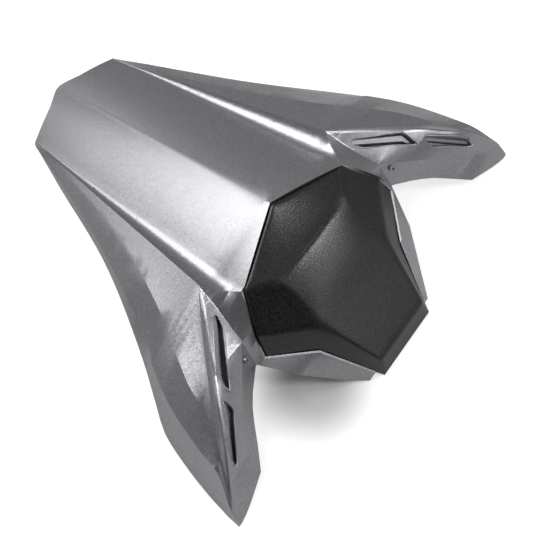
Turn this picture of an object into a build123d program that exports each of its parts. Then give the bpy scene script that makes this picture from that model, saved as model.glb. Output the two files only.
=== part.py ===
from build123d import *
import os

os.makedirs("parts", exist_ok=True)

# Seat cowl for a motorbike, in millimetres. +X is the rider's left, +Y runs to the tail, +Z is up.
# The origin is on the surface the cowl rests on, below the middle of its box.

# Overall sizes
width = 300.0  # over the two wing tips
length = 279.0  # from the pad's front lip to the point of the tail
height = 74.2  # from the resting surface to the point where hump and pad meet
lip_ahead = 18.3  # how far the pad's lip stands in front of the wing tips

# Walls and fits
wall = 3.0  # moulded wall of the shell
pad_gap = 0.5  # shadow gap between pad and shell
seat_gap = 0.3  # clearance between pieces that seat on each other

# The styling rails below are drawn at these sizes, and stretch with the overall sizes
drawn_width = 300.0
drawn_length = 279.0
drawn_height = 74.2

tip_y = lip_ahead - length / 2


def y_at(back):
    """The Y of a station that lies this far behind the wing tips on the drawing."""
    return tip_y + back * length / drawn_length


def across(half_width):
    """A half width of the drawing, stretched to the width asked for."""
    return half_width * width / drawn_width


def up(level):
    """A height of the drawing, stretched to the height asked for."""
    return level * height / drawn_height


def between(rail, back):
    """The half width and height of a rail at a station, straight between its drawn points."""
    for (back_a, x_a, z_a), (back_b, x_b, z_b) in zip(rail[:-1], rail[1:]):
        if min(back_a, back_b) <= back <= max(back_a, back_b):
            share = (back - back_a) / (back_b - back_a)
            return (x_a + share * (x_b - x_a), z_a + share * (z_b - z_a))
    raise ValueError("station off the rail")


def along(rail, back):
    """The same on a smooth curve through the rail's drawn points."""
    for i in range(len(rail) - 1):
        low, high = sorted((rail[i][0], rail[i + 1][0]))
        if low <= back <= high:
            break
    start, end = rail[i], rail[i + 1]
    before = rail[max(i - 1, 0)]
    after = rail[min(i + 2, len(rail) - 1)]
    span = end[0] - start[0]
    t = (back - start[0]) / span
    point = []
    for axis in (1, 2):
        leave = (end[axis] - before[axis]) / (end[0] - before[0]) * span
        arrive = (after[axis] - start[axis]) / (after[0] - start[0]) * span
        point.append(
            (2 * t**3 - 3 * t**2 + 1) * start[axis]
            + (t**3 - 2 * t**2 + t) * leave
            + (3 * t**2 - 2 * t**3) * end[axis]
            + (t**3 - t**2) * arrive
        )
    return (point[0], point[1])


def rounded(before, corner, after, reach):
    """Three points in place of a corner, as on a fillet whose ends lie this far from it."""
    ends = []
    for other in (before, after):
        gap = ((other[0] - corner[0]) ** 2 + (other[1] - corner[1]) ** 2) ** 0.5
        share = min(reach / gap, 0.45)
        ends.append((corner[0] + share * (other[0] - corner[0]), corner[1] + share * (other[1] - corner[1])))
    middle = tuple((ends[0][i] + ends[1][i]) / 4 + corner[i] / 2 for i in (0, 1))
    return [ends[0], middle, ends[1]]


def moved(point, inward, down):
    """A drawn point moved towards the inside of the shell, in walls, which don't stretch."""
    return (point[0] - inward * wall / across(1), point[1] - down * wall / up(1))


def section(back, points):
    """A closed profile across the cowl, from points of half width and height on the drawing."""
    with BuildSketch(Plane.XZ.offset(-y_at(back))) as cut:
        with BuildLine():
            Polyline(*[(across(x), up(z)) for x, z in points], close=True)
        make_face()
    return cut.sketch


def crowned_section(back, top, band, outside, inside):
    """A wall profile whose panel is an arc from the crest, with the band curving up from it to the ridge."""
    start, middle, edge = [(across(x), up(z)) for x, z in band]
    crest_point = (0, up(top[1]))
    crown = (start[0] / 2, (start[1] + crest_point[1]) / 2 + up(panel_bulge))
    rest = [(across(x), up(z)) for x, z in (*outside, *inside)]
    with BuildSketch(Plane.XZ.offset(-y_at(back))) as cut:
        with BuildLine():
            ThreePointArc(crest_point, crown, start)
            ThreePointArc(start, middle, edge)
            Polyline(edge, *rest, crest_point)
        make_face()
    return cut.sketch


# Rails of the tail: distance behind the wing tips, half width, height
panel_bulge = 1.8
crest = [(71.9, 0, 78.5), (92, 0, 73.7), (262, 0, 32.0)]
ridge = [(92, 60.9, 64.4), (262, 36.6, 27.3)]
crease = [(92, 92.1, 51.2), (118, 77.0, 51.8), (145, 65.6, 49.2), (176, 55.1, 44.3),
          (211, 46.2, 37.6), (246, 39.2, 29.9), (262, 36.9, 26.4)]
shoulder = [(92, 109.3, 40.8), (118, 91.8, 42.2), (145, 78.9, 41.9), (176, 65.0, 39.2),
            (211, 52.4, 34.8), (246, 39.9, 28.9), (262, 37.2, 25.2)]
rim = [(92, 114.6, 32.5), (118, 97.6, 36.7), (145, 82.0, 38.0), (176, 67.8, 36.0),
       (211, 54.4, 31.6), (246, 40.2, 26.4), (262, 37.4, 22.6)]
tail_stations = (92, 118, 145, 176, 211, 246, 262)
tail_cut = [(0, 260.8), (14.9, 253.5), (38.8, 246.3), (90, 231), (90, 290)]  # what the point leaves off
tail_corners = 20  # half width within which the point's corners are softened
tail_round = 9.0
band_end = 240  # where the upturned band beside the ridge has faded out
band_width = 14.9
band_depth = 4.8
band_bend = (6.55, 5.2)  # the band's middle, from the ridge


def band_at(back):
    """The upturned band: where it leaves the panel, its middle, and the ridge."""
    x, z = between(ridge, back)
    size = max(0.05, (band_end - back) / (band_end - 92))
    start = (x - band_width * size, z - band_depth * size)
    middle = (x - band_bend[0] * size, z - band_bend[1] * size)
    return [start, middle, (x, z)]


def tail_section(back):
    top = between(crest, back)
    bend, side, low = [between(rail, back) for rail in (crease, shoulder, rim)]
    start, middle, edge = band_at(back)
    under_middle = moved(middle, 0.1, 1.1)
    under_edge = (edge[0], under_middle[1] + 0.7 * (edge[1] - middle[1]))
    side_height = up(bend[1] - low[1]) / wall
    under_bend = moved(bend, 0.6, min(1.15, 0.99 * side_height))
    inside = [moved(low, 1, 0), under_bend, under_edge,
              under_middle, moved(start, 0.1, 1.05), moved(top, 0, 1.05)]
    return crowned_section(back, top, [start, middle, edge], [bend, side, low], inside)


# Rails of the body and wings: pad outline, lower edge of the hump, inner top edge of the wing, blade,
# groove, crease, shoulder and rim
pad_edge = [(92, 60.9, 64.4), (84, 56.4, 61.8), (78, 53.1, 61.8), (71.9, 49.7, 64.1),
            (52, 63.5, 48.0), (42.7, 67.1, 34.3), (19.6, 44.0, 29.7), (-12.7, 28.8, 6.3)]
hump_edge = [(92, 61.1, 64.315), (78, 64.0, 57.5), (66.4, 67.2, 52.3), (56.5, 69.6, 49.0), (45.4, 71.8, 28.9),
             (42.7, 70.4, 27.9), (22, 59.6, 19.7), (-3, 41.1, 3.4), (-12.7, 33.0, 0.4)]
inner_top = [(92, 61.3, 64.231), (78, 64.5, 57.6), (66.4, 67.7, 52.5), (56.5, 70.1, 49.2), (45.4, 84.5, 41.5),
             (38, 94.3, 37.0), (28, 107.6, 30.5), (18.6, 116.5, 22.0), (15.6, 128.0, 18.0), (8.2, 139.5, 12.6)]
inner_low = [(45.4, 71.8, 28.9), (35.8, 88.8, 21.0), (27.7, 97.7, 18.3), (18.6, 106.5, 13.4), (8.2, 117.4, 6.0)]
blade = [(92, 61.8, 64.02), (78, 75.5, 61.2), (66.4, 87.0, 57.6), (45.4, 106.0, 51.5), (38, 113.0, 47.5),
         (24.8, 126.3, 40.0), (8.2, 144.4, 16.5)]
groove = [(92, 62.3, 63.81), (78, 78.3, 57.6), (66.4, 90.5, 53.8), (45.4, 112.1, 46.2),
          (38, 119.0, 42.0), (24.8, 131.0, 34.0), (18.6, 135.8, 27.0), (8.2, 145.0, 15.4)]
wing_crease = [(92, 92.1, 51.2), (78, 100.2, 49.9), (66.4, 107.0, 48.6), (56.5, 111.3, 47.5),
               (45.4, 117.8, 43.2), (38, 124.0, 39.6), (24.8, 133.0, 33.9), (8.2, 145.2, 15.2)]
wing_shoulder = [(92, 109.3, 40.8), (78, 117.2, 39.1), (66.4, 122.9, 37.1), (56.5, 126.4, 36.4),
                 (38, 132.0, 34.8), (24.8, 135.3, 33.5), (8.2, 146.4, 13.9)]
wing_rim = [(92, 114.6, 32.5), (78, 125.1, 26.2), (66.4, 133.9, 14.0), (45.4, 141.3, 8.2),
            (24.8, 146.4, 4.1), (8.2, 149.2, 1.0)]
wing_outside = (blade, groove, wing_crease, wing_shoulder, wing_rim)
band_start = [(92, 46.0, 59.6), (84, 46.8, 61.9), (78, 46.6, 63.5), (71.9, 47.2, 64.9), (45.4, 64.0, 39.0)]
band_middle = [(92, 54.35, 59.2), (84, 52.2, 60.7), (78, 50.2, 62.2), (71.9, 48.4, 64.5), (45.4, 65.0, 38.6)]
body_stations = (92, 88, 84, 78, 71.9, 66.4, 61.5, 56.5, 51, 45.4)
nose_stations = (45.4, 42.7, 22, 19.6, -3)
wing_stations = (45.4, 41.5, 38, 33, 28, 24.8, 21.5, 18.6, 15.6, 12, 8.2)
slot_depth = 6.5
slot_ledge = 2.6  # depth of the step along the outer side of a slot
tip_slices = [(8.2, 1.0), (5.0, 0.70), (2.4, 0.44), (0.8, 0.24), (0.1, 0.10)]
fin_round = 2.4
foot_round = 2.0
front_slot_depth = 5.0

# Seat of the pad: a plane that falls towards the front
seat_front = -12.7
seat_level = 2.2
seat_slope = 0.5  # on the drawing
seat_tilt = seat_slope * height / drawn_height * drawn_length / length  # as stretched


def seat_at(back):
    return seat_level + seat_slope * (back - seat_front)


def roof_below_seat(back):
    """The underside of the seat, from its outer end to the middle."""
    inner = between(hump_edge, back)[0]
    outer_end = moved((inner, seat_at(back)), 2.2, 1)
    return [outer_end, (0, outer_end[1])]


def body_section(back):
    edge, hump, top = [between(rail, back) for rail in (pad_edge, hump_edge, inner_top)]
    fin, foot, bend, side, low = [along(rail, back) for rail in wing_outside]
    middle = between(crest, back) if back > 70 else (0, edge[1])
    below = 1.2 + slot_depth / wall * min(1, (back - 42) / 12)
    inside = [moved(low, 1, 0), moved(bend, 0.5, 1.2), moved(foot, 0.5, below), moved(top, -1.2, below),
              moved(hump, 1.2, below), *roof_below_seat(back)]
    fin_turn = rounded(top, fin, foot, fin_round)
    foot_turn = rounded(fin, foot, bend, foot_round)
    outside = [hump, top, *fin_turn, *foot_turn, bend, side, low]
    band = [between(band_start, back), between(band_middle, back), edge]
    return crowned_section(back, middle, band, outside, inside)


def nose_section(back):
    edge = between(pad_edge, back)
    low = between(hump_edge, back)
    return section(back, [(0, edge[1]), edge, low, moved(low, 1.1, 0), *roof_below_seat(back)])


def nose_front(back):
    edge = between(pad_edge, back)
    low = between(hump_edge, back)
    return section(back, [(0, edge[1]), edge, low, (0, low[1])])


def wing_rails(back):
    low, top = between(inner_low, back), between(inner_top, back)
    fin, foot, bend, side, edge = [along(rail, back) for rail in wing_outside]
    fin_turn = rounded(top, fin, foot, fin_round)
    foot_turn = rounded(fin, foot, bend, foot_round)
    return [low, top, *fin_turn, *foot_turn, bend, side, edge]


def wing_section(back):
    rails = wing_rails(back)
    low, top, foot, side, edge = rails[0], rails[1], rails[6], rails[-2], rails[-1]
    below = 1.0 + front_slot_depth / wall * min(1, (back - 8.2) / (24.8 - 8.2))
    inside = [moved(edge, 1.1, 0), moved(side, 0.9, 0.8), moved(foot, 0.8, below), moved(top, -1.2, below),
              moved(low, -1.3, 0)]
    return section(back, [*rails, *inside])


def tip_section(back, reach):
    """A slice of the solid tip, which closes on the outermost point."""
    tip = drawn_width / 2
    return section(back, [(tip - (tip - x) * reach, z * reach) for x, z in wing_rails(8.2)])


def plan(points):
    """Points of half width and distance behind the tips, mirrored into a closed outline."""
    half = [(across(x), y_at(back)) for x, back in points]
    return half + [(-x, y) for x, y in reversed(half)]


def core_section(back):
    """The tail filled in, up to the flat chords of its panel: what stands up inside the shell ends on it."""
    rails = [between(crest, back), band_at(back)[0], between(crease, back)]
    return section(back, [moved(point, 0, 0.1) for point in rails] + [(rails[-1][0], 0), (0, 0)])


def spot(x, back, level):
    return (across(x), y_at(back), up(level))


def facet(point, depth, slope_x, slope_y):
    """A plane this far below a drawn point, which rises outward and rearward by these drawn slopes."""
    x, y, z = spot(*point)
    tilt_x = slope_x * up(1) / across(1)
    tilt_y = slope_y * up(1) * drawn_length / length
    return Plane(origin=(x, y, z - depth), z_dir=(-tilt_x, -tilt_y, 1))


# Slots in the top of each wing: plan outlines, and the slopes of the facet they are sunk into
rear_slot = [(69.7, 77.0), (66.8, 76.4), (70.6, 69.1), (96.6, 44.6), (94.3, 56.0)]
front_slot = [(102.0, 45.6), (102.2, 38.4), (125.6, 18.6), (125.2, 23.4)]
rear_slot_top = (70.5, 69.1, 53.8)
rear_slot_slopes = (0.314, 0.727)
front_slot_top = (102.2, 38.4, 42.4)
front_slot_slopes = (0.295, 1.0)
rear_slot_deep = [(68.8, 75.0), (67.8, 74.7), (71.1, 69.9), (95.6, 46.8), (92.6, 53.8)]
front_slot_deep = [(102.9, 42.8), (102.9, 38.9), (124.9, 20.0), (124.4, 22.0)]
slot_corner = 1.0

# Pad
lip = 1.2  # rim of the shell round the pad
pad_outline = [(0, 89.5), (49.7, 71.9), (63.5, 52), (67.1, 42.7), (44.0, 19.6), (20.7, -30)]
pad_rim = [(89.2, 0.6, 74.0), (71.9, 49.7, 64.6), (52, 63.5, 48.0), (42.7, 67.1, 34.3), (19.6, 44.0, 29.7),
           (-12.2, 29.1, 6.6), (-18.3, 26.2, 2.6)]
pad_fold = [(89.2, 0.4, 74.05), (71.9, 49.3, 64.7), (56.5, 30.7, 66.0), (24.5, 33.0, 44.5), (-12.2, 23.7, 18.1),
            (-18.3, 25.9, 2.7)]
pad_middle = [(89.2, 0, 74.1), (71.9, 0, 70.6), (56.5, 0, 67.4), (48, 0, 64.0), (36, 0, 55.6), (24.5, 0, 47.3),
              (6, 0, 33.6), (-12.2, 0, 19.3), (-18.3, 0, 2.9)]
pad_stations = (89.2, 71.9, 56.5, 52, 42.7, 36, 24.5, 19.6, 6, -12.2, -18.3)
lip_back = 18.3  # how far the pad's lip lies ahead of the tips on the drawing
pad_overhang_level = 0.6
pad_overhang_rise = 0.34

# Base plate and what it carries
plate = 3.0
front_flat = 14.0  # underside of the plate's front flat
rear_flat = 24.0  # underside of its rear flat
ramp_start = 128
ramp_end = 146
plate_front = 34
plate_rear = 226
plate_outline = [(36, plate_front), (54, 60), (60, 92), (50, 146), (34, 205), (24, plate_rear)]
plate_window = (44, 46)
boss_radius = 5.0
boss_screw_depth = 12.0
screw_radius = 2.0
head_radius = 4.5
head_height = 3.0
boss_places = [(34, 110, front_flat), (-34, 110, front_flat), (22, 200, rear_flat), (-22, 200, rear_flat)]
buffer_radius = 9.0
buffer_pin_radius = 2.5
buffer_places = [(42, 66, front_flat), (-42, 66, front_flat), (27, 168, rear_flat), (-27, 168, rear_flat)]

# Striker: a loop for the latch, on its own small plate
striker_back = 184
striker_plate = (48, 16, 3)
striker_width = 26.0
striker_drop = 18.0
striker_bar = 5.0
striker_corner = 5.0

striker_holes = [(side * (striker_plate[0] / 2 - 6), y_at(striker_back), rear_flat) for side in (-1, 1)]

# Screws that hold the pad, and the small ones beside the hump
pad_screw_x = 26
pad_screw_back = 40
pad_screw_length = 12.0
pocket_screw_place = (75.8, 49.9, 42.1)
pocket_lean = (-0.405, -0.819, 0.408)  # which way its head faces
pocket_head_radius = 2.3
pocket_head_height = 1.5
pocket_shank_radius = 1.2
pocket_shank_length = 6.0

with BuildPart() as tail_form:
    loft([tail_section(back) for back in tail_stations])
with BuildPart() as body_form:
    loft([body_section(back) for back in body_stations], ruled=True)
with BuildPart() as nose_form:
    loft([nose_section(back) for back in nose_stations], ruled=True)
    loft([nose_front(back) for back in (-3, -12.7)], ruled=True)
with BuildPart() as wing_form:
    loft([wing_section(back) for back in wing_stations], ruled=True)
    loft([tip_section(back, reach) for back, reach in tip_slices], ruled=True)

# What the pad sinks into: the outline less the lip, above the seat
with BuildPart() as recess_form:
    with BuildSketch(Plane.XY):
        with BuildLine():
            Polyline(*plan(pad_outline[1:]), (0, y_at(pad_outline[0][1])), close=True)
        make_face()
        offset(amount=-lip, kind=Kind.INTERSECTION)
    extrude(amount=1.6 * height)
    with BuildSketch(Plane.YZ):
        with BuildLine():
            Polyline((y_at(-60), up(seat_at(-60))), (y_at(120), up(seat_at(120))), (y_at(120), 2 * height),
                     (y_at(-60), 2 * height), close=True)
        make_face()
    extrude(amount=width, both=True, mode=Mode.INTERSECT)


def sunk(outline, point, slopes, depth, corner):
    """What a slot takes out of the left wing, down to a floor that follows the facet."""
    with BuildPart() as cutter:
        with BuildSketch(Plane.XY) as slot_plan:
            with BuildLine():
                Polyline(*[(across(x), y_at(back)) for x, back in outline], close=True)
            make_face()
            fillet(slot_plan.vertices(), radius=corner)
        extrude(amount=height)
        with BuildSketch(facet(point, depth, *slopes)):
            Rectangle(width, length)
        extrude(amount=height, mode=Mode.INTERSECT)
    return cutter.part


slots = [
    sunk(rear_slot, rear_slot_top, rear_slot_slopes, slot_ledge, slot_corner),
    sunk(rear_slot_deep, rear_slot_top, rear_slot_slopes, slot_depth, slot_corner / 3),
    sunk(front_slot, front_slot_top, front_slot_slopes, slot_ledge, slot_corner),
    sunk(front_slot_deep, front_slot_top, front_slot_slopes, front_slot_depth, slot_corner / 3),
]

standing = (Align.CENTER, Align.CENTER, Align.MIN)  # a cylinder that starts at its place

# Bosses that stand on the base plate and end inside the wall of the tail
with BuildPart() as boss_form:
    for x, back, level in boss_places:
        with Locations((x, y_at(back), level + plate)):
            Cylinder(boss_radius, height, align=standing)
with BuildPart() as tail_core:
    loft([core_section(back) for back in tail_stations])
    mirror(about=Plane.YZ)
with BuildPart() as boss_core:
    add(boss_form.part)
    add(tail_core.part, mode=Mode.INTERSECT)

pocket_plane = Plane(origin=spot(*pocket_screw_place), z_dir=pocket_lean)
seat_middle = spot(0, pad_screw_back, seat_at(pad_screw_back))
seat_plane = Plane(origin=seat_middle, x_dir=(1, 0, 0), z_dir=(0, -seat_tilt, 1))

with BuildPart() as cowl_shell:
    add(tail_form.part)
    add(body_form.part)
    add(nose_form.part)
    add(wing_form.part)
    for slot in slots:
        add(slot, mode=Mode.SUBTRACT)
    with Locations(pocket_plane):
        Cylinder(pocket_shank_radius + 0.1, 4 * wall, mode=Mode.SUBTRACT)
    mirror(about=Plane.YZ)
    add(recess_form.part, mode=Mode.SUBTRACT)
    # the point of the tail, with softened corners
    with BuildSketch(Plane.XY) as tail_end:
        with BuildLine():
            Polyline(*plan(tail_cut), close=True)
        make_face()
        fillet([v for v in tail_end.vertices() if abs(v.X) < across(tail_corners)], radius=tail_round)
    extrude(amount=2 * height, both=True, mode=Mode.SUBTRACT)
    # bosses with pilot bores, and the holes for the pad's screws through the seat
    add(boss_core.part)
    for x, back, level in boss_places:
        with Locations((x, y_at(back), level + plate)):
            Cylinder(screw_radius, boss_screw_depth, align=standing, mode=Mode.SUBTRACT)
    with Locations(seat_plane):
        with Locations((-pad_screw_x, 0), (pad_screw_x, 0)):
            Cylinder(screw_radius + seat_gap, 4 * wall, mode=Mode.SUBTRACT)
cowl_shell.part.label = "cowl_shell"
export_step(cowl_shell.part, "parts/cowl_shell.step")


def pad_section(back):
    """One slice of the pad: fold, rim and seat on each side, with a crowned middle."""
    fold = between(pad_fold, back)
    edge = between(pad_rim, back)
    if back > seat_front:
        low = seat_at(back) + seat_gap / up(1)
    else:
        low = pad_overhang_level + pad_overhang_rise * (back + lip_back)
    fold_point, edge_point, seat_point = [(across(x), up(z)) for x, z in (fold, edge, (edge[0], low))]
    with BuildSketch(Plane.XZ.offset(-y_at(back))) as cut:
        with BuildLine():
            ThreePointArc((-fold_point[0], fold_point[1]), (0, up(between(pad_middle, back)[1])), fold_point)
            Polyline(fold_point, edge_point, seat_point, (-seat_point[0], seat_point[1]),
                     (-edge_point[0], edge_point[1]), (-fold_point[0], fold_point[1]))
        make_face()
    return cut.sketch


with BuildPart() as back_pad:
    loft([pad_section(back) for back in pad_stations], ruled=True)
    with BuildSketch(Plane.XY):
        with BuildLine():
            Polyline(*plan(pad_outline[1:]), (0, y_at(pad_outline[0][1])), close=True)
        make_face()
        offset(amount=-lip - pad_gap, kind=Kind.INTERSECTION)
    extrude(amount=2 * height, mode=Mode.INTERSECT)
    with Locations(seat_plane):
        with Locations((-pad_screw_x, 0), (pad_screw_x, 0)):
            Cylinder(screw_radius, 2 * pad_screw_length, mode=Mode.SUBTRACT)
back_pad.part.label = "back_pad"
export_step(back_pad.part, "parts/back_pad.step")

# Base plate: a bent sheet with two flats and a window
front_bend = [(plate_front, front_flat), (ramp_start, front_flat)]
rear_bend = [(ramp_end, rear_flat), (plate_rear, rear_flat)]
underside = front_bend + rear_bend
with BuildPart() as base_plate:
    with BuildSketch(Plane.YZ):
        with BuildLine():
            Polyline(*[(y_at(back), level) for back, level in underside],
                     *[(y_at(back), level + plate) for back, level in reversed(underside)], close=True)
        make_face()
    extrude(amount=width, both=True)
    with BuildSketch(Plane.XY):
        with BuildLine():
            Polyline(*plan(plate_outline), close=True)
        make_face()
    extrude(amount=height, mode=Mode.INTERSECT)
    with BuildSketch(Plane.XY.offset(front_flat)):
        with Locations((0, y_at(92))):
            RectangleRounded(*plate_window, 8)
    extrude(amount=plate, mode=Mode.SUBTRACT)
    for x, back, level in boss_places:
        with Locations((x, y_at(back), level)):
            Cylinder(screw_radius + seat_gap, 4 * plate, mode=Mode.SUBTRACT)
    for x, back, level in buffer_places:
        with Locations((x, y_at(back), level)):
            Cylinder(buffer_pin_radius, 4 * plate, mode=Mode.SUBTRACT)
    with Locations(*striker_holes):
        Cylinder(screw_radius, 4 * plate, mode=Mode.SUBTRACT)
base_plate.part.label = "base_plate"
export_step(base_plate.part, "parts/base_plate.step")

for number, (x, back, level) in enumerate(buffer_places, start=1):
    with BuildPart() as buffer:
        with BuildSketch(Plane.XY):
            with Locations((x, y_at(back))):
                Circle(buffer_radius)
        extrude(amount=level)
        chamfer(buffer.edges().sort_by(Axis.Z)[0], length=1.5)
        with Locations((x, y_at(back), level)):
            Cylinder(buffer_pin_radius, plate, align=standing)
    buffer.part.label = f"rubber_buffer_{number}"
    export_step(buffer.part, f"parts/rubber_buffer_{number}.step")

# Striker: a rounded bar bent into a loop below its plate
inner_width = striker_width - 2 * striker_bar
inner_drop = striker_drop + striker_corner - 2 * striker_bar
with BuildPart() as latch_striker:
    with BuildSketch(Plane.XY.offset(rear_flat - striker_plate[2])):
        with Locations((0, y_at(striker_back))):
            RectangleRounded(striker_plate[0], striker_plate[1], 3)
    extrude(amount=striker_plate[2])
    with BuildSketch(Plane.XZ.offset(-y_at(striker_back))):
        with Locations((0, rear_flat - striker_plate[2] - striker_drop / 2 + striker_corner / 2)):
            RectangleRounded(striker_width, striker_drop + striker_corner, striker_corner)
            Rectangle(inner_width, inner_drop, mode=Mode.SUBTRACT)
        with Locations((0, rear_flat + striker_corner)):
            Rectangle(striker_width, 2 * striker_corner + 2 * striker_plate[2] - 0.2, mode=Mode.SUBTRACT)
    extrude(amount=striker_bar / 2, both=True)
    with Locations(*striker_holes):
        Cylinder(screw_radius, 4 * plate, mode=Mode.SUBTRACT)
latch_striker.part.label = "latch_striker"
export_step(latch_striker.part, "parts/latch_striker.step")

# Screws: where each sits, which way it goes in, and how far
seat_wall = wall / (1 + seat_tilt**2) ** 0.5
tip_room = 1.0  # left between a screw's tip and the end of its bore
plain_screw = (head_radius, head_height, screw_radius)
screws = {}
for number, (x, back, level) in enumerate(boss_places, start=1):
    place = Plane(origin=(x, y_at(back), level))
    screws[f"base_screw_{number}"] = (place, *plain_screw, plate + boss_screw_depth - tip_room)
for number, (x, y, z) in enumerate(striker_holes, start=1):
    place = Plane(origin=(x, y, z - striker_plate[2]))
    screws[f"striker_screw_{number}"] = (place, *plain_screw, striker_plate[2] + 2 * plate)
for number, x in enumerate((-pad_screw_x, pad_screw_x), start=1):
    under_seat = seat_plane.from_local_coords((x, 0, -seat_wall))
    place = Plane(origin=under_seat, x_dir=(1, 0, 0), z_dir=seat_plane.z_dir)
    screws[f"pad_screw_{number}"] = (place, *plain_screw, seat_wall + pad_screw_length - tip_room)
for number, side in enumerate((-1, 1), start=1):
    x, y, z = spot(*pocket_screw_place)
    inward = (-side * pocket_lean[0], -pocket_lean[1], -pocket_lean[2])
    place = Plane(origin=(side * x, y, z), z_dir=inward)
    sizes = (pocket_head_radius, pocket_head_height, pocket_shank_radius, pocket_shank_length)
    screws[f"pocket_screw_{number}"] = (place, *sizes)

for name, (place, head, depth, shank, reach) in screws.items():
    with BuildPart(place) as screw:
        Cylinder(head, depth, align=(Align.CENTER, Align.CENTER, Align.MAX))
        Cylinder(shank, reach, align=standing)
        with BuildSketch(place.offset(-depth)):
            RegularPolygon(head * 0.45, 6)
        extrude(amount=depth * 0.6, mode=Mode.SUBTRACT)
    screw.part.label = name
    export_step(screw.part, f"parts/{name}.step")
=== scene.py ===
import math
from statistics import fmean, median

import bpy
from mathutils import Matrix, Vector


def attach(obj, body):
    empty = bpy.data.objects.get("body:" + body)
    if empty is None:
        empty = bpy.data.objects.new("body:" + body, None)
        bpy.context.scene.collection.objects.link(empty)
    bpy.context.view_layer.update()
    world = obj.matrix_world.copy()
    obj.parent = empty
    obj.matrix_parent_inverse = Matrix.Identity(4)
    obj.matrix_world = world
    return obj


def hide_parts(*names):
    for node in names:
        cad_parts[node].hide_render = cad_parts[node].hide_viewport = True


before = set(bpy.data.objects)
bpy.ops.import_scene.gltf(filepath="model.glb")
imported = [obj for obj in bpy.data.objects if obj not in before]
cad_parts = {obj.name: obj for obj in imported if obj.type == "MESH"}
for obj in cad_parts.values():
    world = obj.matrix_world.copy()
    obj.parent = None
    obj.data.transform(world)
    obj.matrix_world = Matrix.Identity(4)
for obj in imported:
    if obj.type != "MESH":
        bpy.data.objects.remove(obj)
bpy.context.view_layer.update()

# Lengths are in metres and angles in degrees, in the frame of the model, whose wings point ahead along -Y.
# Drawn points are half width, distance behind the wing tips and height in millimetres, as in the model.
tip_y = -121.2  # the wing tips, in millimetres


def spot(x, back, height=0):
    """The place in metres of a drawn point."""
    return Vector((x / 1000, (tip_y + back) / 1000, height / 1000))


def place_object(name, data):
    """A new object in the scene."""
    thing = bpy.data.objects.new(name, data)
    bpy.context.collection.objects.link(thing)
    return thing


def shade_smooth(mesh):
    """Smooth shading on every face."""
    mesh.polygons.foreach_set("use_smooth", [True] * len(mesh.polygons))


# Nodes of a material or a world
def set_inputs(node, *values, **named):
    """Sets a node's inputs, in order or by name, to values or to what another node puts out."""
    sockets = [node.inputs[i] for i in range(len(values))]
    sockets += [node.inputs[name.replace("_", " ")] for name in named]
    for socket, value in zip(sockets, (*values, *named.values())):
        if isinstance(value, bpy.types.NodeSocket):
            node.id_data.links.new(value, socket)
        else:
            socket.default_value = value


def add_node(tree, kind, *values, operation=None, **named):
    """A node of that kind with its inputs set, in order or by name."""
    node = tree.nodes.new(kind)
    if operation:
        node.operation = operation
    set_inputs(node, *values, **named)
    return node


def object_position(tree):
    """Where a point of the surface lies on its object."""
    return add_node(tree, "ShaderNodeTexCoord").outputs["Object"]


def grey(level):
    """Three like values, for a neutral colour."""
    return (level, level, level)


def ramp(tree, factor, *stops):
    """A colour that runs between two stops, each a position and a colour, as the factor rises."""
    node = add_node(tree, "ShaderNodeValToRGB", factor)
    for element, (position, colour) in zip(node.color_ramp.elements, stops):
        element.position = position
        element.color = (*colour, 1)
    return node.outputs["Color"]


def smooth_ramp(tree, value, start, end, low, high):
    """A number that turns smoothly from low to high while the value runs from start to end."""
    node = add_node(tree, "ShaderNodeMapRange", value, start, end, low, high)
    node.interpolation_type = "SMOOTHSTEP"
    return node.outputs["Result"]


def noise(tree, place, density, **inputs):
    """A cloudy pattern over the surface, from 0 to 1."""
    return add_node(tree, "ShaderNodeTexNoise", Vector=place, Scale=density, **inputs).outputs["Fac"]


def bump(tree, height, strength):
    """The surface's normal, leaning where the height changes."""
    node = add_node(tree, "ShaderNodeBump", Strength=strength, Distance=grain_depth, Height=height)
    return node.outputs["Normal"]


# Materials
flake_density = 1700.0
flake_lean = 0.05
dark_flake = (0.30, 0.30, 0.318)
light_flake = (0.40, 0.40, 0.42)
grain_density = 1000.0
grain_depth = 0.0002
dark_steel = (0.52, 0.52, 0.54)
light_steel = (0.62, 0.62, 0.63)
streak_density = 900.0
streak_stretch = (1.0, 1.0, 0.08)


def new_material(name):
    """A material, with its node tree and its shader."""
    material = bpy.data.materials.new(name)
    material.use_nodes = True
    return material, material.node_tree, material.node_tree.nodes["Principled BSDF"]


def body_paint():
    """Silver metallic paint: flakes that each lean a little, under a clear coat."""
    material, tree, shader = new_material("body_paint")
    flakes = add_node(tree, "ShaderNodeTexVoronoi", Vector=object_position(tree), Scale=flake_density)
    flake = flakes.outputs["Color"]
    spread = add_node(tree, "ShaderNodeVectorMath", flake, grey(0.5), operation="SUBTRACT")
    lean = add_node(tree, "ShaderNodeVectorMath", spread.outputs[0], operation="SCALE", Scale=flake_lean)
    normal = add_node(tree, "ShaderNodeNewGeometry").outputs["Normal"]
    bent = add_node(tree, "ShaderNodeVectorMath", normal, lean.outputs[0], operation="ADD")
    unit = add_node(tree, "ShaderNodeVectorMath", bent.outputs[0], operation="NORMALIZE")
    tone = ramp(tree, flake, (0.15, dark_flake), (0.85, light_flake))
    set_inputs(shader, Normal=unit.outputs[0], Base_Color=tone, Metallic=0.85, Roughness=0.36)
    set_inputs(shader, Coat_Weight=0.2, Coat_Roughness=0.25)
    return material


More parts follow.
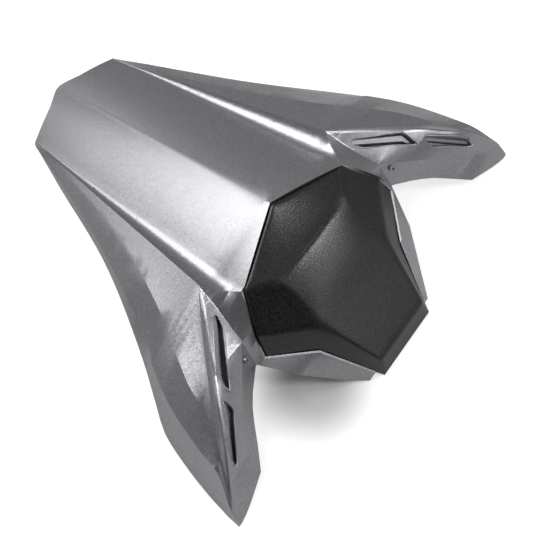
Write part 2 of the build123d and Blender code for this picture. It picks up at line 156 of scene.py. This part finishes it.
def textured_plastic():
    """Black plastic from a spark-eroded mould: a fine even grain."""
    material, tree, shader = new_material("textured_plastic")
    grain = noise(tree, object_position(tree), grain_density, Detail=2.0, Roughness=0.7)
    tone = ramp(tree, grain, (0.4, grey(0.001)), (0.68, grey(0.022)))
    set_inputs(shader, Normal=bump(tree, grain, 0.55), Base_Color=tone)
    set_inputs(shader, Roughness=0.33, Specular_IOR_Level=0.65)
    return material


def plain_plastic(name, level, roughness, density):
    """Moulded black plastic or rubber with a faint mottle."""
    material, tree, shader = new_material(name)
    mottle = noise(tree, object_position(tree), density, Detail=4.0)
    tone = ramp(tree, mottle, (0.3, grey(level * 0.8)), (0.7, grey(level * 1.25)))
    set_inputs(shader, Normal=bump(tree, mottle, 0.2), Base_Color=tone, Roughness=roughness)
    return material


def plated_steel():
    """Zinc plated steel, with a faint drawn streak."""
    material, tree, shader = new_material("steel")
    mapping = add_node(tree, "ShaderNodeMapping", Vector=object_position(tree), Scale=streak_stretch)
    streak = noise(tree, mapping.outputs["Vector"], streak_density, Detail=3.0)
    rough = ramp(tree, streak, (0.3, grey(0.25)), (0.7, grey(0.42)))
    tone = ramp(tree, streak, (0.3, dark_steel), (0.7, light_steel))
    set_inputs(shader, Base_Color=tone, Roughness=rough, Metallic=1.0)
    return material


paint = body_paint()
grain_black = textured_plastic()
plain_black = plain_plastic("black_plastic", 0.03, 0.45, 300.0)
rubber = plain_plastic("rubber", 0.022, 0.75, 500.0)
steel = plated_steel()

# Pieces of the model
# Finishes and bevels go by a node's name without its number, and the others are steel with a small bevel.
finish_of = {"cowl_shell": paint, "pocket_screw": paint, "base_plate": plain_black, "rubber_buffer": rubber}
bevel_of = {"cowl_shell": 0.0005, "latch_striker": 0.0006}
small_bevel = 0.0002
bevel_segments = 2
bevel_angle = 30  # edges sharper than this are softened
crease_angle = 13  # shading breaks at edges sharper than this
weld_reach = 0.00001  # between corners that are joined


def crease_shading():
    """A node group that shades a mesh smooth between its creases."""
    group = bpy.data.node_groups.new("smooth_by_angle", "GeometryNodeTree")
    for in_out in ("INPUT", "OUTPUT"):
        group.interface.new_socket("Geometry", in_out=in_out, socket_type="NodeSocketGeometry")
    start = add_node(group, "NodeGroupInput").outputs["Geometry"]
    edge_angle = add_node(group, "GeometryNodeInputMeshEdgeAngle").outputs["Unsigned Angle"]
    limits = {"A": edge_angle, "B": math.radians(crease_angle)}
    sharp = add_node(group, "FunctionNodeCompare", operation="GREATER_THAN", **limits)
    smooth = add_node(group, "FunctionNodeBooleanMath", sharp.outputs["Result"], operation="NOT")
    mark = add_node(group, "GeometryNodeSetShadeSmooth", Geometry=start)
    mark.domain = "EDGE"
    set_inputs(mark, Shade_Smooth=smooth.outputs["Boolean"])
    add_node(group, "NodeGroupOutput", Geometry=mark.outputs["Geometry"])
    return group


def dress(node, material, bevel):
    """A piece's finish: its material, softened edges and smooth shading between them."""
    node.data.materials.clear()
    node.data.materials.append(material)
    shade_smooth(node.data)
    weld = node.modifiers.new("weld", "WELD")  # joins the corners that meeting faces share
    weld.merge_threshold = weld_reach
    edge = node.modifiers.new("soft_edges", "BEVEL")
    edge.width = bevel
    edge.segments = bevel_segments
    edge.limit_method = "ANGLE"
    edge.angle_limit = math.radians(bevel_angle)
    node.modifiers.new("smooth_by_angle", "NODES").node_group = creases


creases = crease_shading()
for name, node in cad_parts.items():
    kind = name.rstrip("_0123456789")
    if kind != "back_pad":
        dress(node, finish_of.get(kind, steel), bevel_of.get(kind, small_bevel))

# Pad: a faceted moulding with a soft crowned pillow in its middle
pad_corners = {
    "tail": (0, 87.6, 74.4),
    "rear": (48.4, 70.7, 65.0),
    "shoulder": (61.8, 51.6, 48.8),
    "side": (64.9, 42.7, 35.4),
    "waist": (42.5, 20.6, 29.9),
    "lip": (24.8, -18.2, 3.2),
    "lip_middle": (0, -18.2, 3.2),
    "brow": (30.7, 56.5, 66.0),
    "brow_middle": (0, 54.6, 67.4),
    "valley_middle": (0, 59.5, 66.3),
    "knee": (33.0, 24.5, 44.5),
    "knee_middle": (0, 25.0, 47.0),
    "step": (23.0, -12.2, 17.4),
    "step_middle": (0, -12.2, 18.0),
    "swell": (17.0, 39.0, 58.6),
    "swell_middle": (0, 39.0, 59.2),
}
# The outline runs from the middle of the tail round one side to the middle of the front.
pad_outline = ["tail", "rear", "shoulder", "side", "waist", "lip", "lip_middle"]
pad_facets = [
    ("tail", "rear", "brow", "valley_middle"),
    ("valley_middle", "brow", "brow_middle"),
    ("brow_middle", "brow", "swell", "swell_middle"),
    ("swell_middle", "swell", "knee", "knee_middle"),
    ("swell", "brow", "knee"),
    ("knee_middle", "knee", "step", "step_middle"),
    ("rear", "shoulder", "knee", "brow"),
    ("shoulder", "side", "waist", "knee"),
    ("knee", "waist", "lip", "step"),
    ("step_middle", "step", "lip", "lip_middle"),
]
# How hard the edges between facets stay when the pad is rounded: 0 is soft, 1 is sharp.
pad_creases = {
    ("rear", "brow"): 0.75,
    ("valley_middle", "brow"): 0.15,
    ("brow_middle", "brow"): 0.35,
    ("brow", "knee"): 0.8,
    ("shoulder", "knee"): 0.75,
    ("knee", "waist"): 0.3,
    ("knee", "step"): 0.55,
    ("step_middle", "step"): 0.6,
    ("step", "lip"): 0.6,
}
outline_crease = 0.97
wall_crease = 1.0
pad_rounding = 4  # levels of subdivision
seat_front = -12.7  # the seat that the pad lies on, drawn as its points are
seat_level = 2.2
seat_slope = 0.5
seat_gap = 0.4
lip_level = 0.9  # underside of the lip ahead of the seat


def pad_floor(back):
    """The height of the pad's underside."""
    if back < seat_front:
        return lip_level
    return seat_level + seat_slope * (back - seat_front) + seat_gap


def loop_edges(loop):
    """The pairs of neighbours on a closed loop."""
    return list(zip(loop, loop[1:] + loop[:1]))


def pad_mesh():
    """The pad before it is rounded: its facets, the walls below its outline, and its underside."""
    points = []
    place_of = {}
    for name, (x, back, height) in pad_corners.items():
        for side in (1, -1) if x else (0,):
            place_of[name, side] = len(points)
            points.append(spot(side * x, back, height))

    def corner(name, side):
        """The point of that name on that side, or in the middle, where both sides share it."""
        return place_of[name, side if pad_corners[name][0] else 0]

    around = [(name, 1) for name in pad_outline] + [(name, -1) for name in pad_outline[-2:0:-1]]
    outline = [corner(name, side) for name, side in around]
    underside = []
    for name, side in around:
        x, back, _ = pad_corners[name]
        underside.append(len(points))
        points.append(spot(side * x, back, pad_floor(back)))

    faces = []
    hardness = {frozenset(edge): outline_crease for edge in loop_edges(outline)}
    for side in (1, -1):
        for facet in pad_facets:
            faces.append([corner(name, side) for name in facet][::-side])
        for (one, other), crease in pad_creases.items():
            hardness[frozenset((corner(one, side), corner(other, side)))] = crease
    for (one, two), (below_one, below_two) in zip(loop_edges(outline), loop_edges(underside)):
        faces.append([one, two, below_two, below_one])
    faces.append(underside[::-1])

    mesh = bpy.data.meshes.new("pad_cover")
    mesh.from_pydata(points, [], faces)
    mesh.validate()
    shade_smooth(mesh)
    crease_of = mesh.attributes.new("crease_edge", "FLOAT", "EDGE").data
    for edge in mesh.edges:
        in_wall = max(edge.vertices) >= underside[0]
        crease_of[edge.index].value = wall_crease if in_wall else hardness.get(frozenset(edge.vertices), 0.0)
    return mesh


pad = place_object("pad_cover", pad_mesh())
pad.data.materials.append(grain_black)
rounding = pad.modifiers.new("rounding", "SUBSURF")
rounding.levels = pad_rounding
rounding.render_levels = pad_rounding
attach(pad, "root")
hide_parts("back_pad")

# Rims of the slots: thin rolls laid on the shell round each slot's outline
slot_outlines = {
    "rear_slot_rim": [(69.7, 77.0), (66.8, 76.4), (70.6, 69.1), (96.6, 44.6), (94.3, 56.0)],
    "front_slot_rim": [(102.0, 45.6), (102.2, 38.4), (125.6, 18.6), (125.2, 23.4)],
}
rim_radius = 0.0005
rim_out = 0.0003  # from the slot's edge to the middle of the rim
rim_sink = 0.0002  # from the shell down to the middle of the rim
rim_corner = 0.0022  # length of an edge that a rounded corner takes up
rim_step = 0.0012  # between the points of a rim
rim_sides = 8
corner_steps = 4
longest_corner = 0.45  # of its edge
bump_reach = 5  # neighbours each way, among which a rim takes the middle level
wave_reach = 3  # neighbours each way, over which it then takes the mean
above_shell = Vector((0, 0, 0.2))
downward = Vector((0, 0, -1))


def corner_end(corner, other):
    """Where the curve round a corner ends, on its edge to the other corner."""
    return corner + (other - corner) * min(longest_corner, rim_corner / (other - corner).length)


def rounded_loop(corners):
    """Points along a closed outline whose corners are turned on short curves."""
    loop = []
    for before, corner, after in zip(corners[-1:] + corners[:-1], corners, corners[1:] + corners[:1]):
        start = corner_end(corner, before)
        end = corner_end(corner, after)
        for i in range(corner_steps + 1):
            t = i / corner_steps
            loop.append(start * (1 - t) ** 2 + corner * 2 * t * (1 - t) + end * t**2)
        leave = corner_end(after, corner)
        count = max(1, int((leave - end).length / rim_step))
        loop += [end.lerp(leave, i / count) for i in range(1, count)]
    return loop


def level_out(track, reach, average):
    """Gives each point of a closed track the average height of its neighbours within that reach."""
    heights = [point.z for point in track]
    for i, point in enumerate(track):
        point.z = average([heights[(i + k) % len(track)] for k in range(-reach, reach + 1)])


def rim_track(outline, side):
    """The middle line of a slot's rim, dropped onto the shell, whose object sits at the origin."""
    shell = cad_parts["cowl_shell"].evaluated_get(bpy.context.evaluated_depsgraph_get())
    corners = [spot(side * x, back) for x, back in outline]
    middle = sum(corners, Vector()) / len(corners)
    corners = [corner + (corner - middle).normalized() * rim_out for corner in corners]
    track = []
    for point in rounded_loop(corners):
        found, place, *_ = shell.ray_cast(point + above_shell, downward)
        if found:
            track.append(place - Vector((0, 0, rim_sink)))
    level_out(track, bump_reach, median)
    level_out(track, wave_reach, fmean)
    return track


def rolled_mesh(name, track):
    """A thin closed tube round a track."""
    points = []
    faces = []
    for i, point in enumerate(track):
        following = (i + 1) % len(track)
        along = (track[following] - track[i - 1]).normalized()
        out = along.cross(-downward).normalized()
        over = out.cross(along)
        for k in range(rim_sides):
            turn = 2 * math.pi * k / rim_sides
            points.append(point + (out * math.cos(turn) + over * math.sin(turn)) * rim_radius)
        for k in range(rim_sides):
            next_side = (k + 1) % rim_sides
            ring, next_ring = i * rim_sides, following * rim_sides
            faces.append((ring + k, next_ring + k, next_ring + next_side, ring + next_side))
    mesh = bpy.data.meshes.new(name)
    mesh.from_pydata(points, [], faces)
    mesh.validate()
    shade_smooth(mesh)
    return mesh


for slot_name, outline in slot_outlines.items():
    for hand, side in (("left", 1), ("right", -1)):
        name = f"{slot_name}_{hand}"
        rim = place_object(name, rolled_mesh(name, rim_track(outline, side)))
        rim.data.materials.append(paint)
        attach(rim, "root")

# Floor
floor_size = 8
floor_level = -0.0002
floor_grey = 0.5
floor_glow = 0.75  # what makes its grey white to the camera
# glow left in the middle of the painted shadow
painted_shadow_glow = 0.03
mirrored_share = 0.2  # how much of the floor's white the paint mirrors
painted_shadow_heart = (-0.055, -0.107, 0)  # middle of the painted shadow below the nose, where the floor's glow is lowest
painted_shadow_core = 0.012  # radius of its darkest part
painted_shadow_reach = 0.05  # radius at which it has faded out


def floor_material():
    """White paper, which the camera sees as plain white apart from the shadow under the nose, partly cast by
    the lights and partly painted as a dip in the paper's glow.
    """
    material, tree, paper = new_material("floor")
    set_inputs(paper, Base_Color=(*grey(floor_grey), 1), Roughness=0.9, Specular_IOR_Level=0.1)
    away = add_node(tree, "ShaderNodeVectorMath", object_position(tree), painted_shadow_heart, operation="DISTANCE")
    # Painted shadow: the glow drops towards the middle point below the nose, so the floor there darkens on
    # top of the lights' own shadows.
    glow = smooth_ramp(tree, away.outputs["Value"], painted_shadow_core, painted_shadow_reach, painted_shadow_glow, floor_glow)
    light = add_node(tree, "ShaderNodeEmission", Strength=glow)
    white = add_node(tree, "ShaderNodeAddShader", paper.outputs[0], light.outputs[0])
    ray = add_node(tree, "ShaderNodeLightPath").outputs
    sees = (ray["Is Glossy Ray"], mirrored_share, ray["Is Camera Ray"])
    share = add_node(tree, "ShaderNodeMath", *sees, operation="MULTIPLY_ADD")
    both = add_node(tree, "ShaderNodeMixShader", share.outputs[0], paper.outputs[0], white.outputs[0])
    set_inputs(tree.nodes["Material Output"], Surface=both.outputs[0])
    return material


bpy.ops.mesh.primitive_plane_add(size=floor_size, location=(0, 0, floor_level))
floor = bpy.context.object
floor.name = "floor"
floor.data.materials.append(floor_material())

# Room and lights
dark_side = (-0.5, -0.6, 0.62)
dark_start = 0.35  # how far a direction leans to the dark side where the room begins to darken
dark_full = 0.95  # and where it is darkest
room_grey = 0.25
darkest_grey = 0.03
light_distance = 1.6
light_target = Vector((0, 0, 0.03))


def studio_room():
    """A grey room, darkest high up ahead of the wing at -X, which the camera sees as plain white."""
    world = bpy.data.worlds.new("studio")
    world.use_nodes = True
    tree = world.node_tree
    direction = add_node(tree, "ShaderNodeTexCoord").outputs["Generated"]
    toward = add_node(tree, "ShaderNodeVectorMath", direction, dark_side, operation="DOT_PRODUCT")
    shade = smooth_ramp(tree, toward.outputs["Value"], dark_start, dark_full, room_grey, darkest_grey)
    room = tree.nodes["Background"]
    set_inputs(room, Color=shade)
    white = add_node(tree, "ShaderNodeBackground", Color=(*grey(1), 1))
    seen = add_node(tree, "ShaderNodeLightPath").outputs["Is Camera Ray"]
    both = add_node(tree, "ShaderNodeMixShader", seen, room.outputs[0], white.outputs[0])
    set_inputs(tree.nodes["World Output"], Surface=both.outputs[0])
    return world


def softbox(name, azimuth, elevation, width, height, power):
    """An area light at that compass angle (0 is over the tail, turning towards +X), aimed at the cowl."""
    data = bpy.data.lights.new(name, "AREA")
    data.shape = "RECTANGLE"
    data.size = width
    data.size_y = height
    data.energy = power
    a = math.radians(azimuth)
    e = math.radians(elevation)
    direction = Vector((math.sin(a) * math.cos(e), math.cos(a) * math.cos(e), math.sin(e)))
    light = place_object(name, data)
    light.location = direction * light_distance + light_target
    light.rotation_euler = direction.to_track_quat("Z", "Y").to_euler()


bpy.context.scene.world = studio_room()
softbox("rear_box", azimuth=-15, elevation=60, width=1.4, height=0.7, power=17.5)
softbox("front_box", azimuth=168, elevation=31, width=0.8, height=0.5, power=3)
softbox("top_box", azimuth=147, elevation=51, width=0.36, height=0.24, power=7)

# Camera, fitted to where the wing tips, pad corners and tail corners lie in the photograph
photo_width = 533  # pixels
focal_length = 880  # pixels
sensor_width = 36  # millimetres
camera_place = (-0.16639, -0.15302, 0.53382)
camera_tilt = 19.9405  # from straight down
camera_turn = -53.661

camera_data = bpy.data.cameras.new("camera")
camera_data.sensor_width = sensor_width
camera_data.lens = focal_length * sensor_width / photo_width
camera = place_object("camera", camera_data)
camera.location = camera_place
camera.rotation_euler = (math.radians(camera_tilt), 0, math.radians(camera_turn))
bpy.context.scene.camera = camera
bpy.context.scene.view_settings.view_transform = "Standard"
